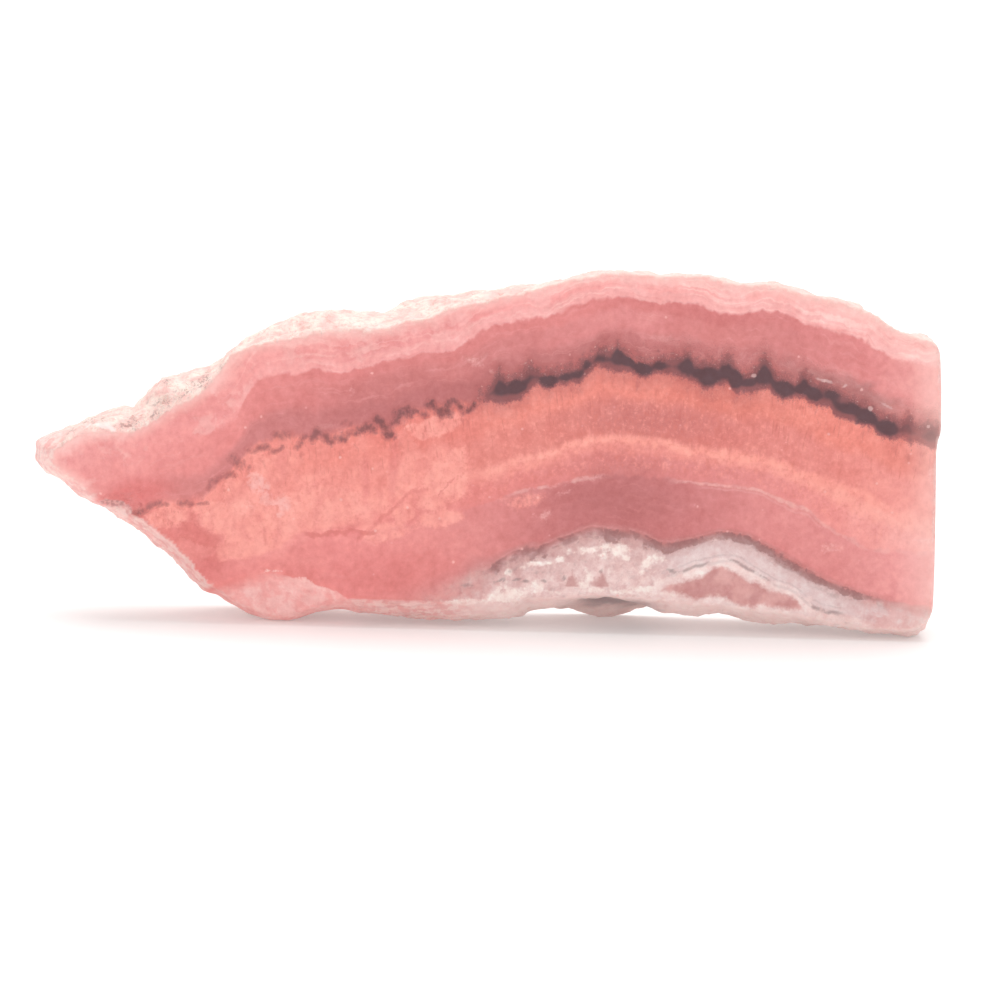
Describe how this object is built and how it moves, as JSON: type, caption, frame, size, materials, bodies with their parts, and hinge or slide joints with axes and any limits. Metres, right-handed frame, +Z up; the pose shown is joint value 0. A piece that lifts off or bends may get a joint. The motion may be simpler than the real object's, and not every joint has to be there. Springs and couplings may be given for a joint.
{
  "type": "rhodochrosite slice",
  "caption": "Thick sawn slice of banded pink rhodochrosite with two flat faces, one straight sawn end and a rough natural rim, standing on its lower edge.",
  "frame": {"origin": "on the surface it stands on, below the middle of its bounding box", "axes": "+X along the slice's length, from the pointed natural tip to the straight sawn end; +Y through its thickness, from the front sawn face to the back one; +Z up"},
  "size_m": [0.0906, 0.012, 0.0365],
  "materials": {
    "rhodochrosite": "banded pink carbonate mineral, sawn faces smooth and slightly glossy, natural rim rough and pale"
  },
  "bodies": {
    "root": {"slice": "rhodochrosite"}
  },
  "joints": []
}
